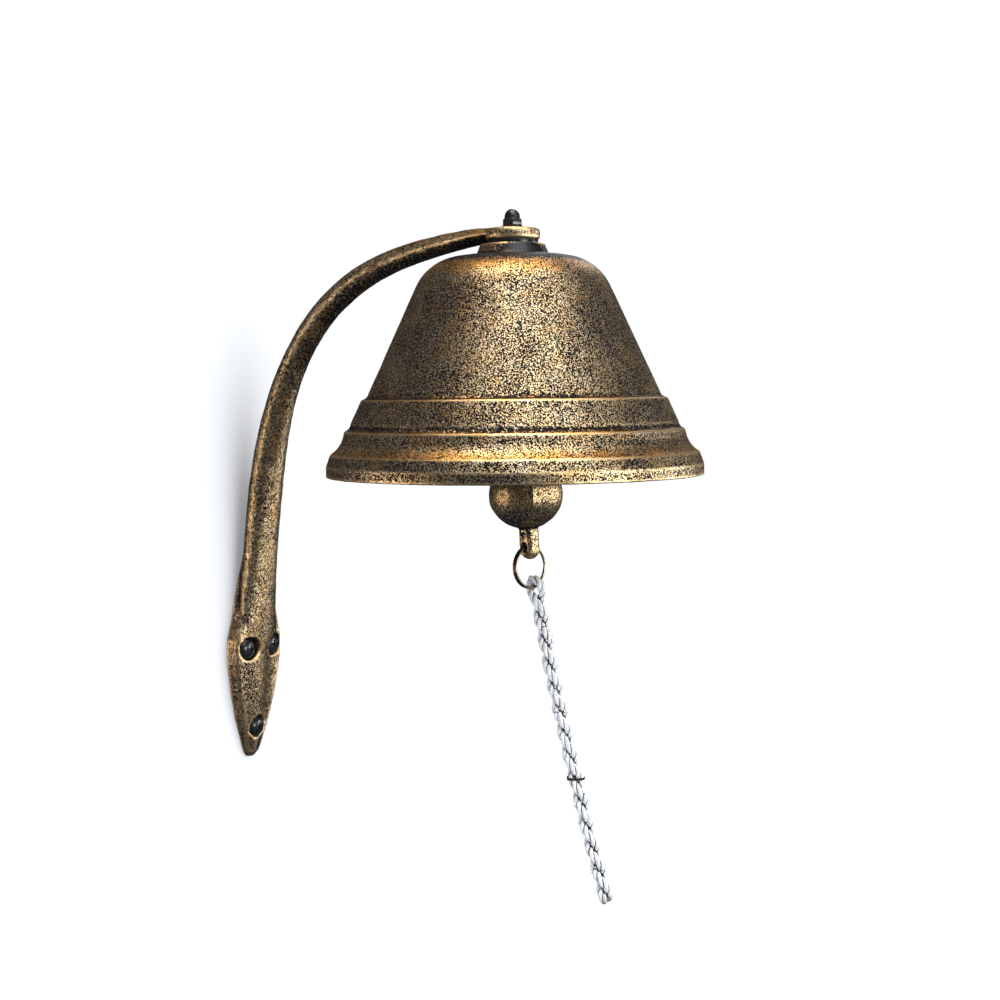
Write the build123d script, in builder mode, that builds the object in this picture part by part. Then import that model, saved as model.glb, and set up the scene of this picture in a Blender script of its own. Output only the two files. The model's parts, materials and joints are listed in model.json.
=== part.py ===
from build123d import *
from math import cos, pi, radians, sin
import os

os.makedirs("parts", exist_ok=True)

# Wall mounted bell: a cast bracket screwed to the wall, a bell bolted under its end,
# and a clapper that hangs inside the bell with a split ring and a pull rope below it.
# Millimetres, +Z up. X = 0 is the wall face and +X points into the room. The origin lies
# on the wall face and the bracket's centre line, level with the two upper screws.

# Bell axis and rim
REACH = 146.0               # wall face to the bell's axis
RIM_Z = 82.6                # bell's rim above the origin; heights below are above the rim

# Bell
MOUTH_R = 80.0
RIM_WALL = 6.0
RIM_BAND = 4.6              # upright band at the lip
TIERS = [                   # corner radius and height, then foot radius and height
    (78.2, 9.6, 73.0, 15.8),
    (72.1, 19.4, 69.6, 22.2),
    (64.9, 32.6, 61.9, 35.0),
]
STEP_HOLLOW = 0.5           # how far each step between two tiers is hollowed
CORNER_ROUND = 0.7
CONE_TOP = (42.3, 78.1)
SHOULDER = [(38.4, 85.0), (31.8, 90.4)]
CROWN_EDGE = (15.6, 93.6)
CROWN_RISE = 0.08           # slope of the crown where it meets the boss
BOSS_TOP = (13.7, 98.2)
BELL_WALL = 4.4             # measured level, across the cone
CROWN_UNDER = 88.6
INNER_SHOULDER = (24.0, 87.4)
INNER_FLARE = (66.5, 16.0)
BOLT_HOLE_R = 2.75

# Bracket arm: centre line in the plane Y = 0, as (X, Z) in the row's frame
ARM_LINE = [(5.6, -6), (8.2, 40), (12.8, 78), (21.9, 115), (53.6, 160.6), (89.0, 177.8), (128.0, 184.5)]
ARM_SECTIONS = [            # place along the line, thickness, width
    (0.00, 8.0, 18.0),
    (0.10, 13.6, 21.2),
    (0.18, 14.5, 17.8),
    (0.28, 15.0, 16.8),
    (0.44, 12.6, 14.6),
    (0.64, 11.2, 13.2),
    (0.79, 10.0, 12.4),
    (0.90, 8.0, 14.4),
    (1.00, 4.2, 19.0),
]
PAD_R = 11.8
PAD_UNDER = 99.9
PAD_THICK = 4.9
PAD_EDGE = 1.2              # rounding of the pad's edges
UNDER_FACE_R = 11.5         # flat faced under the pad, where the washer bears
TOP_FACE_R = 5.6            # flat faced on the pad, where the cap nut bears

# Bracket wall plate: a leaf whose point is down
LEAF_SECTIONS = [           # Z in the row's frame, half width, thickness at the middle
    (-52.0, 1.8, 2.8),
    (-49.6, 4.0, 4.4),
    (-43.0, 6.2, 5.8),
    (-33.0, 9.6, 7.2),
    (-21.0, 12.6, 8.8),
    (-6.0, 15.0, 10.0),
    (4.0, 14.8, 10.6),
    (12.0, 12.0, 11.2),
    (22.0, 9.6, 11.0),
    (31.0, 7.0, 8.6),
    (40.0, 3.6, 5.2),
    (47.0, 1.2, 2.6),
]
LEAF_SIDE = 0.45            # share of the thickness that stands upright at the leaf's edge

# Wall screws
SCREW_Y = 8.6               # upper pair, either side of the centre line
LOWER_SCREW_Z = -37.5
SCREW_SEATS = [(-SCREW_Y, 0.0, 6.2), (SCREW_Y, 0.0, 6.2), (0.0, LOWER_SCREW_Z, 4.0)]   # Y, Z, seat height
SEAT_R = 5.3
SEAT_CLEAR = 10.0           # how far each seat's cut runs out past the leaf
SCREW_HOLE_R = 2.7
HEAD_R = 4.8
HEAD_HIGH = 3.3
HEAD_SIDE = 0.35            # share of the head's height where its side starts to round over
HEAD_ROUND = (0.82, 0.72)   # a point on that rounding: share of the height, share of the radius
HEAD_FLAT_R = 1.5
NECK_R = 2.0
THREAD_R = 2.4
THREAD_START = -0.6
THREAD_END = -30.0
SCREW_POINT = 4.0
CROSS_LONG = 5.0
CROSS_WIDE = 1.2
CROSS_DEEP = 1.8

# Clamp stack through the crown
BOLT_R = 2.5
BOLT_TOP = 111.2
CROWN_WASHER_R = 11.0
WASHER_BORE_R = 2.75
INNER_WASHER_R = 7.5
INNER_WASHER_THICK = 1.2
NUT_ACROSS = 8.0
NUT_BORE_R = 2.52
INNER_NUT_HIGH = 2.7
SPRING_WASHER_R = 4.5
SPRING_WASHER_THICK = 1.2
SPRING_SPLIT = 0.8          # width of the cut through the spring washer
CAP_HEX_HIGH = 2.9
CAP_DOME_R = 3.3
CAP_HIGH = 7.2
CAP_BORE_DEEP = 5.7

# Hanging parts. They hang in one upright plane, turned about the bell's axis.
HANG_TURN = -17.0           # degrees from +X to the plane the clapper swings in
EYE_R = 4.75                # eye bolt's ring, to the middle of its wire
EYE_WIRE_R = 1.75
EYE_CENTRE = 77.4
LINK_R = 3.9                # hanger link's end bends, to the middle of its wire
LINK_WIRE_R = 1.25
LINK_SPAN = 11.5            # between the wire centres at the link's two ends
CONTACT_GAP = 0.05

CLAPPER_LEAN = 5.2          # degrees at rest, towards the room
CLAPPER_EYE_R = 4.0
CLAPPER_EYE_WIRE_R = 1.6
BALL_DROP = 72.6            # pivot to the ball's centre
BALL_R = 15.7
BALL_HALF_HIGH = 14.5
SHANK_TOP_R = 2.7
SHANK_END_R = 4.1
TAIL_R = 4.1
TAIL_END = 100.0            # pivot to the tail's tip
TAIL_FLAT = 7.0             # across the flats at the ring's hole
RING_HOLE_DROP = 94.6
RING_HOLE_R = 1.95

RING_R = 8.6                # split ring, to the middle of its wire
RING_WIRE_R = 0.6
RING_PITCH = 1.25
RING_TURNS = 1.55
RING_START = 140.0          # degrees from the ring's top to the first end of its wire
RING_LEAN = 2.0

# Rope: a cord looped over the ring, its two legs twisted together
CORD_R = 1.8
LOOP_R = 3.2
ROPE_R = 3.4
ROPE_STEP = 36.0            # from one bend to the next
ROPE_GAP = 0.6
ROPE_TURN = 30.0            # degrees from +X to the plane the rope leans in
ROPE_SLIP = 18.0            # degrees from the ring's lowest point to the rope's loop
ROPE_LEANS = [10.0, 12.0, 12.8, 14.6]
ROPE_TAIL = 25.5            # last bend to the centre of the rope's rounded end
WHIPPING_DROP = 83.0        # ring to the black binding, along the rope
WHIPPING_R = 4.1
WHIPPING_BORE_R = 3.45
WHIPPING_HIGH = 1.4

# Directions and frames of the hanging parts
UP = Vector(0, 0, 1)
SWING_OUT = Vector(cos(radians(HANG_TURN)), sin(radians(HANG_TURN)), 0)
SWING_AXIS = Vector(-sin(radians(HANG_TURN)), cos(radians(HANG_TURN)), 0)
ROPE_OUT = Vector(cos(radians(ROPE_TURN)), sin(radians(ROPE_TURN)), 0)
ROPE_AXIS = Vector(-sin(radians(ROPE_TURN)), cos(radians(ROPE_TURN)), 0)
BELL_AXIS = Axis((REACH, 0, RIM_Z), (0, 0, 1))
BELL_SIDE = Plane(origin=(REACH, 0, RIM_Z), x_dir=(1, 0, 0), z_dir=(0, -1, 0))


def on_axis(height):
    """Point on the bell's axis, at a height above the rim."""
    return Vector(REACH, 0, RIM_Z + height)


def level(height):
    """Level plane centred on the bell's axis, at a height above the rim."""
    return Plane(origin=on_axis(height), x_dir=(1, 0, 0), z_dir=(0, 0, 1))


def down(lean, out=SWING_OUT):
    """Direction along a hanging part that leans by lean degrees from upright."""
    return out * sin(radians(lean)) - UP * cos(radians(lean))


def swing_plane(origin, lean):
    """Plane the parts swing in; its y runs up along a part with this lean."""
    sideways = SWING_OUT * cos(radians(lean)) + UP * sin(radians(lean))
    return Plane(origin=origin, x_dir=sideways, z_dir=SWING_AXIS * -1)


def rope_plane(origin, lean):
    """Plane square to a length of rope, facing up along it."""
    return Plane(origin=origin, x_dir=ROPE_AXIS, z_dir=down(lean, ROPE_OUT) * -1)


def export(part, name):
    part.label = name
    export_step(part, f"parts/{name}.step")


# Places along the hanging chain
eye_low = on_axis(EYE_CENTRE - EYE_R)
link_top = eye_low + UP * (EYE_WIRE_R + LINK_WIRE_R + CONTACT_GAP)
clapper_pivot = link_top - UP * LINK_SPAN
ring_pivot = clapper_pivot + down(CLAPPER_LEAN) * RING_HOLE_DROP
ring_up = down(RING_LEAN) * -1
ring_middle = ring_pivot - ring_up * RING_R
slip_cos = cos(radians(ROPE_SLIP))
slip_sin = sin(radians(ROPE_SLIP))
rope_pivot = ring_middle + (SWING_AXIS * slip_sin - ring_up * slip_cos) * RING_R
loop_axis = SWING_AXIS * slip_cos + ring_up * slip_sin
bends = [rope_pivot]
for lean in ROPE_LEANS[:-1]:
    bends.append(bends[-1] + down(lean, ROPE_OUT) * ROPE_STEP)


# ---- Bell -------------------------------------------------------------------------------
with BuildPart() as bell:
    with BuildSketch(BELL_SIDE):
        with BuildLine():
            lip = Line((MOUTH_R - RIM_WALL, 0), (MOUTH_R, 0))
            edge = Line(lip @ 1, (MOUTH_R, RIM_BAND))
            for corner_r, corner_z, foot_r, foot_z in TIERS:
                side = Line(edge @ 1, (corner_r, corner_z))
                hollow = (
                    (corner_r + foot_r) / 2 - STEP_HOLLOW,
                    (corner_z + foot_z) / 2 - STEP_HOLLOW,
                )
                edge = ThreePointArc(side @ 1, hollow, (foot_r, foot_z))
            cone = Line(edge @ 1, CONE_TOP)
            shoulder = Spline(
                cone @ 1, *SHOULDER, CROWN_EDGE, tangents=[cone % 1, (-1, CROWN_RISE)]
            )
            boss = Polyline(CROWN_EDGE, BOSS_TOP, (BOLT_HOLE_R, BOSS_TOP[1]), (BOLT_HOLE_R, CROWN_UNDER))
            inner_foot = (TIERS[-1][2] - BELL_WALL, TIERS[-1][3])
            inner_top = (CONE_TOP[0] - BELL_WALL, CONE_TOP[1])
            dome = Spline(
                boss @ 1, INNER_SHOULDER, inner_top, tangents=[(1, 0), (cone % 0) * -1]
            )
            wall = Line(dome @ 1, inner_foot)
            Spline(wall @ 1, INNER_FLARE, lip @ 0)
        make_face()
    revolve(axis=BELL_AXIS)
    corners = [e for e in bell.edges().filter_by(GeomType.CIRCLE)
               if any(abs(e.radius - tier[0]) < 0.01 for tier in TIERS)]
    fillet(corners, CORNER_ROUND)
export(bell.part, "bell")


# ---- Bracket ----------------------------------------------------------------------------
pad_middle = PAD_UNDER + PAD_THICK / 2
with BuildLine(Plane.XZ) as arm_line:
    Spline(*ARM_LINE, (REACH, RIM_Z + pad_middle), tangents=[(0, 1), (1, 0)])
arm_path = arm_line.line

with BuildPart() as arm:
    for place, thickness, width in ARM_SECTIONS:
        station = Plane(origin=arm_path @ place, x_dir=(0, 1, 0), z_dir=arm_path % place)
        with BuildSketch(station):
            Ellipse(width / 2, thickness / 2)
    loft()
    split(bisect_by=Plane.YZ, keep=Keep.TOP)

with BuildPart() as pad:
    with BuildSketch(level(PAD_UNDER)):
        Circle(PAD_R)
    extrude(amount=PAD_THICK)
    fillet(pad.edges(), PAD_EDGE)

with BuildPart() as leaf:
    for z, half, thickness in LEAF_SECTIONS:
        side = LEAF_SIDE * thickness
        round_x = half * sin(pi / 4)
        round_y = side + (thickness - side) * sin(pi / 4)
        with BuildSketch(Plane(origin=(0, 0, z), x_dir=(0, -1, 0), z_dir=(0, 0, 1))):
            with BuildLine():
                Polyline((-half, side), (-half, 0), (half, 0), (half, side))
                Spline(
                    (half, side), (round_x, round_y), (0, thickness), (-round_x, round_y), (-half, side),
                    tangents=[(0, 1), (0, -1)],
                )
            make_face()
    loft(ruled=True)

with BuildPart() as bracket:
    add(arm.part)
    add(pad.part)
    add(leaf.part)
    with BuildSketch(level(PAD_UNDER)):
        Circle(UNDER_FACE_R)
    extrude(amount=-PAD_THICK, mode=Mode.SUBTRACT)
    with BuildSketch(level(PAD_UNDER + PAD_THICK)):
        Circle(TOP_FACE_R)
    extrude(amount=PAD_THICK, mode=Mode.SUBTRACT)
    with BuildSketch(level(PAD_UNDER)):
        Circle(BOLT_HOLE_R)
    extrude(amount=PAD_THICK, mode=Mode.SUBTRACT)
    for y, z, seat in SCREW_SEATS:
        with BuildSketch(Plane.YZ.offset(seat)):
            with Locations((y, z)):
                Circle(SEAT_R)
        extrude(amount=SEAT_CLEAR, mode=Mode.SUBTRACT)
        with BuildSketch(Plane.YZ):
            with Locations((y, z)):
                Circle(SCREW_HOLE_R)
        extrude(amount=seat, mode=Mode.SUBTRACT)
export(bracket.part, "bracket")


# ---- Wall screws ------------------------------------------------------------------------
with BuildPart() as wall_screws:
    for y, z, seat in SCREW_SEATS:
        with BuildSketch(Plane(origin=(0, y, z), x_dir=(1, 0, 0), z_dir=(0, -1, 0))):
            with BuildLine():
                Polyline(
                    (THREAD_END - SCREW_POINT, 0),
                    (THREAD_END, THREAD_R),
                    (THREAD_START, THREAD_R),
                    (THREAD_START, NECK_R),
                    (seat + CONTACT_GAP, NECK_R),
                    (seat + CONTACT_GAP, HEAD_R),
                    (seat + HEAD_HIGH * HEAD_SIDE, HEAD_R),
                )
                ThreePointArc(
                    (seat + HEAD_HIGH * HEAD_SIDE, HEAD_R),
                    (seat + HEAD_HIGH * HEAD_ROUND[0], HEAD_R * HEAD_ROUND[1]),
                    (seat + HEAD_HIGH, HEAD_FLAT_R),
                )
                Polyline((seat + HEAD_HIGH, HEAD_FLAT_R), (seat + HEAD_HIGH, 0), (THREAD_END - SCREW_POINT, 0))
            make_face()
        revolve(axis=Axis((0, y, z), (1, 0, 0)))
        with BuildSketch(Plane.YZ.offset(seat + HEAD_HIGH)):
            with Locations((y, z)):
                Rectangle(CROSS_LONG, CROSS_WIDE)
                Rectangle(CROSS_WIDE, CROSS_LONG)
        extrude(amount=-CROSS_DEEP, mode=Mode.SUBTRACT)
export(wall_screws.part, "wall_screws")


# ---- Clamp stack ------------------------------------------------------------------------
with BuildPart() as crown_washer:
    with BuildSketch(level(BOSS_TOP[1])):
        Circle(CROWN_WASHER_R)
        Circle(WASHER_BORE_R, mode=Mode.SUBTRACT)
    extrude(amount=PAD_UNDER - BOSS_TOP[1])
export(crown_washer.part, "crown_washer")

with BuildPart() as inner_washer:
    with BuildSketch(level(CROWN_UNDER)):
        Circle(INNER_WASHER_R)
        Circle(WASHER_BORE_R, mode=Mode.SUBTRACT)
    extrude(amount=-INNER_WASHER_THICK)
export(inner_washer.part, "inner_washer")

with BuildPart() as inner_nut:
    with BuildSketch(level(CROWN_UNDER - INNER_WASHER_THICK)):
        RegularPolygon(NUT_ACROSS / 2, 6, major_radius=False)
        Circle(NUT_BORE_R, mode=Mode.SUBTRACT)
    extrude(amount=-INNER_NUT_HIGH)
export(inner_nut.part, "inner_nut")

with BuildPart() as spring_washer:
    with BuildSketch(level(PAD_UNDER + PAD_THICK)):
        Circle(SPRING_WASHER_R)
        Circle(WASHER_BORE_R, mode=Mode.SUBTRACT)
        with Locations((SPRING_WASHER_R, 0)):
            Rectangle(2 * SPRING_WASHER_R, SPRING_SPLIT, mode=Mode.SUBTRACT)
    extrude(amount=SPRING_WASHER_THICK)
export(spring_washer.part, "spring_washer")

cap_base = PAD_UNDER + PAD_THICK + SPRING_WASHER_THICK
with BuildPart() as cap_nut:
    with BuildSketch(level(cap_base)):
        RegularPolygon(NUT_ACROSS / 2, 6, major_radius=False)
    extrude(amount=CAP_HEX_HIGH)
    with BuildSketch(BELL_SIDE):
        with BuildLine():
            dome_foot = cap_base + CAP_HIGH - CAP_DOME_R
            Polyline((0, cap_base + CAP_HIGH), (0, cap_base), (CAP_DOME_R, cap_base), (CAP_DOME_R, dome_foot))
            RadiusArc((CAP_DOME_R, dome_foot), (0, cap_base + CAP_HIGH), -CAP_DOME_R)
        make_face()
    revolve(axis=BELL_AXIS)
    with BuildSketch(level(cap_base)):
        Circle(NUT_BORE_R)
    extrude(amount=CAP_BORE_DEEP, mode=Mode.SUBTRACT)
export(cap_nut.part, "cap_nut")

with BuildPart() as eye_bolt:
    with BuildSketch(level(EYE_CENTRE + EYE_R)):
        Circle(BOLT_R)
    extrude(amount=BOLT_TOP - EYE_CENTRE - EYE_R)
    with Locations(Plane(origin=on_axis(EYE_CENTRE), x_dir=SWING_OUT, z_dir=SWING_AXIS)):
        Torus(EYE_R, EYE_WIRE_R)
export(eye_bolt.part, "eye_bolt")


# ---- Hanger link ------------------------------------------------------------------------
link_middle = (link_top + clapper_pivot) * 0.5
link_straight = LINK_SPAN / 2 - LINK_R
with BuildLine(Plane(origin=link_middle, x_dir=SWING_AXIS, z_dir=SWING_OUT)) as link_line:
    Line((LINK_R, -link_straight), (LINK_R, link_straight))
    ThreePointArc((LINK_R, link_straight), (0, LINK_SPAN / 2), (-LINK_R, link_straight))
    Line((-LINK_R, link_straight), (-LINK_R, -link_straight))
    ThreePointArc((-LINK_R, -link_straight), (0, -LINK_SPAN / 2), (LINK_R, -link_straight))

with BuildPart() as hanger_link:
    with BuildSketch(Plane(origin=link_line.line @ 0, x_dir=SWING_OUT, z_dir=(0, 0, 1))):
        Circle(LINK_WIRE_R)
    sweep(path=link_line.line)
export(hanger_link.part, "hanger_link")


# ---- Clapper ----------------------------------------------------------------------------
clapper_side = swing_plane(clapper_pivot, CLAPPER_LEAN)
clapper_axis = Axis(clapper_pivot, down(CLAPPER_LEAN))
eye_drop = CLAPPER_EYE_R - LINK_WIRE_R - CLAPPER_EYE_WIRE_R - CONTACT_GAP
shank_start = eye_drop + CLAPPER_EYE_R
tail_bend = TAIL_END - TAIL_R

with BuildPart() as clapper:
    with Locations(Plane(origin=clapper_pivot + down(CLAPPER_LEAN) * eye_drop, x_dir=SWING_OUT, z_dir=SWING_AXIS)):
        Torus(CLAPPER_EYE_R, CLAPPER_EYE_WIRE_R)
    with BuildSketch(clapper_side):
        with BuildLine():
            Polyline((0, -BALL_DROP), (0, -shank_start), (SHANK_TOP_R, -shank_start), (SHANK_END_R, -BALL_DROP))
            Line((SHANK_END_R, -BALL_DROP), (0, -BALL_DROP))
        make_face()
    revolve(axis=clapper_axis)
    with BuildSketch(clapper_side):
        with Locations((0, -BALL_DROP)):
            Ellipse(BALL_R, BALL_HALF_HIGH)
            with Locations((-BALL_R, 0)):
                Rectangle(2 * BALL_R, 2 * BALL_R, mode=Mode.SUBTRACT)
    revolve(axis=clapper_axis)
    with BuildSketch(clapper_side):
        with BuildLine():
            Polyline((0, -TAIL_END), (0, -BALL_DROP), (TAIL_R, -BALL_DROP), (TAIL_R, -tail_bend))
            RadiusArc((TAIL_R, -tail_bend), (0, -TAIL_END), TAIL_R)
        make_face()
    revolve(axis=clapper_axis)
    hole_plane = Plane(origin=ring_pivot, x_dir=down(CLAPPER_LEAN), z_dir=SWING_AXIS)
    for offset_side in (1, -1):
        with BuildSketch(hole_plane.offset(offset_side * TAIL_FLAT / 2)):
            Rectangle(3 * TAIL_R, 3 * TAIL_R)
        extrude(amount=offset_side * TAIL_R, mode=Mode.SUBTRACT)
    with BuildSketch(hole_plane):
        Circle(RING_HOLE_R)
    extrude(amount=TAIL_R, both=True, mode=Mode.SUBTRACT)
export(clapper.part, "clapper")


# ---- Split ring -------------------------------------------------------------------------
ring_normal = SWING_OUT * cos(radians(RING_LEAN)) + UP * sin(radians(RING_LEAN))
coil_middle = (360 - RING_START) / 360 * RING_PITCH
ring_plane = Plane(
    origin=ring_middle + ring_normal * coil_middle,
    x_dir=ring_up * cos(radians(RING_START)) + SWING_AXIS * sin(radians(RING_START)),
    z_dir=ring_normal * -1,
)
coil = ring_plane * Helix(RING_PITCH, RING_PITCH * RING_TURNS, RING_R)

with BuildPart() as split_ring:
    with BuildSketch(Plane(origin=coil @ 0, z_dir=coil % 0)):
        Circle(RING_WIRE_R)
    sweep(path=coil, is_frenet=True)
export(split_ring.part, "split_ring")


# ---- Rope -------------------------------------------------------------------------------
# Each length is a capsule whose upper end is centred on its bend, so it turns in its own space.
trunk_start = LOOP_R + CORD_R + ROPE_R - CORD_R / 2
trunk_end = ROPE_STEP - 2 * ROPE_R - ROPE_GAP
for i, (pivot, lean) in enumerate(zip(bends, ROPE_LEANS)):
    first = i == 0
    last = i == len(bends) - 1
    start = pivot + down(lean, ROPE_OUT) * (trunk_start if first else 0)
    end = pivot + down(lean, ROPE_OUT) * (ROPE_TAIL if last else trunk_end)
    with BuildPart() as rope_length:
        with BuildSketch(rope_plane(start, lean)):
            Circle(ROPE_R)
        extrude(amount=-(end - start).length)
        with Locations(start):
            Sphere(ROPE_R)
        with Locations(end):
            Sphere(ROPE_R)
        if first:
            with Locations(Plane(origin=pivot, x_dir=SWING_OUT, z_dir=loop_axis)):
                Torus(LOOP_R, CORD_R)
    export(rope_length.part, f"rope_{i + 1}")

whipping_bend = int(WHIPPING_DROP // ROPE_STEP)
whipping_lean = ROPE_LEANS[whipping_bend]
whipping_place = bends[whipping_bend] + down(whipping_lean, ROPE_OUT) * (WHIPPING_DROP % ROPE_STEP)
with BuildPart() as rope_whipping:
    with BuildSketch(rope_plane(whipping_place, whipping_lean)):
        Circle(WHIPPING_R)
        Circle(WHIPPING_BORE_R, mode=Mode.SUBTRACT)
    extrude(amount=WHIPPING_HIGH / 2, both=True)
export(rope_whipping.part, "rope_whipping")
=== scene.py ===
import json
import math

import bpy
import numpy as np
from mathutils import Matrix, Vector


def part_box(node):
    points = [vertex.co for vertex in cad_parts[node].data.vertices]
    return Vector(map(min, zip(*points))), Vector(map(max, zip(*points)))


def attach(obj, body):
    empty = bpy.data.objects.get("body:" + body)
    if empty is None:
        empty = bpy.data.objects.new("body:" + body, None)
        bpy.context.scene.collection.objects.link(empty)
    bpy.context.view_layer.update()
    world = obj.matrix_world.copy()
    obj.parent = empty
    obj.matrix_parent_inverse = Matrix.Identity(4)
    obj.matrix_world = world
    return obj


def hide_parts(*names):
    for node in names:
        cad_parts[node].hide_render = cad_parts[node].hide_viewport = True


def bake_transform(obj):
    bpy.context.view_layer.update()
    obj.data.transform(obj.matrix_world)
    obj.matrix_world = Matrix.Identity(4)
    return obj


# Wall mounted bell: cast bracket and bell in black paint rubbed with gold, black fasteners,
# a cast clapper, a steel split ring and a white twisted cord.
# Sizes below are in millimetres unless they say otherwise; Blender works in metres.

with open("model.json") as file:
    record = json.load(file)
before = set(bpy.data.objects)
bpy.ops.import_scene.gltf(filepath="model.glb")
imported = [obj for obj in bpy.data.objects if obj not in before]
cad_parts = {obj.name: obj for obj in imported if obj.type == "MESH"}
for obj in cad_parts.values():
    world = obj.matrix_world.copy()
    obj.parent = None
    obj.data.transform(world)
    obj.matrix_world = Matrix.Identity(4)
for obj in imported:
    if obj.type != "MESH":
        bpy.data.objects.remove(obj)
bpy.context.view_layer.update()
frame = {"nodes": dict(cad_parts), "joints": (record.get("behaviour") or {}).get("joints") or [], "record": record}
MM = 0.001

# Castings: voxel size, the size and height of each unevenness in the cast skin, smoothing rounds
BELL_SKIN = (0.45, [(1.5, 0.12), (9.0, 0.2)], 2)
BRACKET_SKIN = (0.45, [(1.5, 0.16), (7.0, 0.4)], 9)
CLAPPER_SKIN = (0.35, [(1.4, 0.12), (6.0, 0.4)], 5)
SOFTEN_ROUNDS = 2
WEAR_ROUNDS = 5             # how far round each point its surroundings are averaged
WEAR_FULL = 0.11            # how far proud of its surroundings a fully worn edge stands
SEAM_TURN = -50.0           # degrees from +X to the clapper's casting seam
SEAM_HIGH = 0.35
SEAM_WIDE = 0.6
BALL_DROP = 72.6            # clapper's pivot to the ball's middle
BALL_REACH = 17.0           # the seam stops this far from the ball's middle
BOSS_SHADE_AND_GLOSS = ((158.0, -11.0, 172.0), 13.0)    # ball round the boss's right side: no gold there, as painted shade, and glossier paint

# Fasteners
HEX_ACROSS = 8.0
NUT_CORNER_R = 4.5
NUT_FACE_R = 3.9
NUT_CHAMFER = 0.35
NUT_BEVEL = 0.12
CAP_BEVEL = 0.14
CAP_HEX_HIGH = 2.9
CAP_DOME_R = 3.3
CAP_DOME_ROWS = 12
POLE_R = 0.05               # a turned solid closes with a face this small
DOME_POLE_R = 0.02
WASHER_VOXELS = {"crown_washer": 0.2, "inner_washer": 0.16, "spring_washer": 0.12}
BOLT_R = 2.5
BOLT_PITCH = 0.8
BOLT_THREAD_DEEP = 0.45
EYE_WIRE_R = 1.75
EYE_R = 4.75
SCREW_R = 2.4
SCREW_PITCH = 2.0
SCREW_THREAD_DEEP = 0.75
SCREW_NECK_R = 2.0
SCREW_THREAD_START = -0.6
SCREW_THREAD_END = -30.0
SCREW_TIP = -34.0
SCREW_POINT = 0.15          # radius at the tip, as a share of the thread's
SCREW_HEAD_R = 4.8
SCREW_HEAD_LIFT = 0.05
SCREW_HEAD_ROUND = 0.15
SCREW_HEAD_HIGH = 3.3
# Height over the seat and radius, up the head's dome
SCREW_DOME = [(1.1, 4.8), (1.7, 4.6), (2.3, 4.1), (2.75, 3.4), (3.1, 2.4), (3.3, 1.2), (3.33, 0.05)]
SCREW_SEATS = {"upper": 6.2, "lower": 4.0}
RECESS_LONG = 4.6
RECESS_WIDE = 1.1
RECESS_DEEP = 1.7
RECESS_TAPER = 0.55
LINK_R = 3.9
LINK_WIRE_R = 1.25
LINK_BEND_STEPS = 32

# Rope
CORD_R = 1.8
LOOP_R = 3.2
LAY = 19.8                  # one full turn of the two legs about each other
LAY_SETTLE = 1.4
LOOP_CLOSE = 6.0            # the loop's legs meet this far below the ring
LOOP_SOFTEN_ROUNDS = 8
LEG_PRESS = 0.97            # the legs press together, to this share of a cord's radius
STRAND_R = 0.93
STRAND_RING = 0.92          # cord's middle to each strand's middle
STRANDS = 3
STRAND_LAY = 11.0
STRAND_SIDES = 12
STRAND_OUT = 1.62           # a strand is painted with shade nearer the cord's middle than this
STRAND_CREASE = 0.45        # and is darkest this much further in
LEG_OUT = 2.3               # the same, from the middle of the two legs
LEG_CREASE = 1.1
STRAND_WOBBLE = 0.07        # how much a strand's thickness varies, as a share
WOBBLE_STEP = 3.0           # from one thickness to the next
STRAND_CLOSE = 1.2          # a strand rounds off over this length at its end
ROPE_STEP = 0.45            # between rings of vertices along a strand
ROPE_END_R = 3.4
ROPE_SOFTEN_ROUNDS = 60
SINGE_LONG = 3.5            # the cut ends are singed over this length
SINGE = 0.75
FUZZ_LOOP = 7               # stray fibres on each strand's run along a piece of rope
FUZZ_LENGTH = 13
FUZZ_TAIL = 12
FUZZ_SHORT, FUZZ_LONG = 0.8, 2.3
FUZZ_R = 0.06
FUZZ_SIDES = 4
FUZZ_STEPS = 6
WHIPPING_PLACE = 83.0       # ring to the black binding, along the rope
WHIPPING_THREAD_R = 0.28
WHIPPING_TURNS = 2
WHIPPING_SPACING = 1.7      # from turn to turn, in thread radii
WHIPPING_PINCH = 0.85       # the thread squeezes the legs in to this share of a cord's radius
WHIPPING_STEPS = 48
WHIPPING_SIDES = 10

# Stage and light
WALL_GLOW = 1.1
WALL_SHADE = 0.30
WALL_SHADE_REACH = 0.036    # metres
OPEN_LOW, OPEN_HIGH = 0.3, 0.95     # how open to its front a fully shaded and an unshaded spot is
SHADE_SAMPLES = 16
FLOOR_Z = -1.0              # metres
FLOOR_GAP = 1.2             # wall to floor in shade reaches, so that neither shades the other
STAGE_WIDE = 14.0           # metres
AMBIENT = 0.8               # even light from all round, on dull surfaces and then in reflections
AMBIENT_GLOSS = 0.04
LIGHTS_AIM_Z = 120.0
LIGHTS = [                  # name, azimuth, elevation, distance, width and height in m, watts, colour
    ("key", 54, 50, 1.3, 1.5, 0.9, 11, (0.92, 0.96, 1.0)),
    ("overhead", 40, 85, 1.3, 1.1, 0.35, 14, (1.0, 0.84, 0.66)),
    ("front", 84, -2, 1.4, 0.8, 0.4, 11, (1.0, 0.95, 0.84)),
    ("right", 138, -4, 1.4, 0.6, 0.5, 6, (0.96, 0.94, 0.9)),
    ("left", -48, -10, 1.4, 0.4, 0.4, 3.0, (1.0, 0.82, 0.66)),
    ("behind", 195, 35, 1.6, 0.9, 0.9, 4, (0.85, 0.92, 1.0)),
]

# Camera
CAMERA_AT = (480.4, -592.1, 117.5)
CAMERA_AZIMUTH = 30.0
CAMERA_ROLL = 0.6
CAMERA_LENS = 57.5
CAMERA_SENSOR = 36.0
CAMERA_SHIFT = (0.0011, -0.107)

swing = {joint["name"]: joint for joint in frame["joints"]}
mounts = {mount["name"]: mount for mount in frame["record"]["mounts"]}


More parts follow.
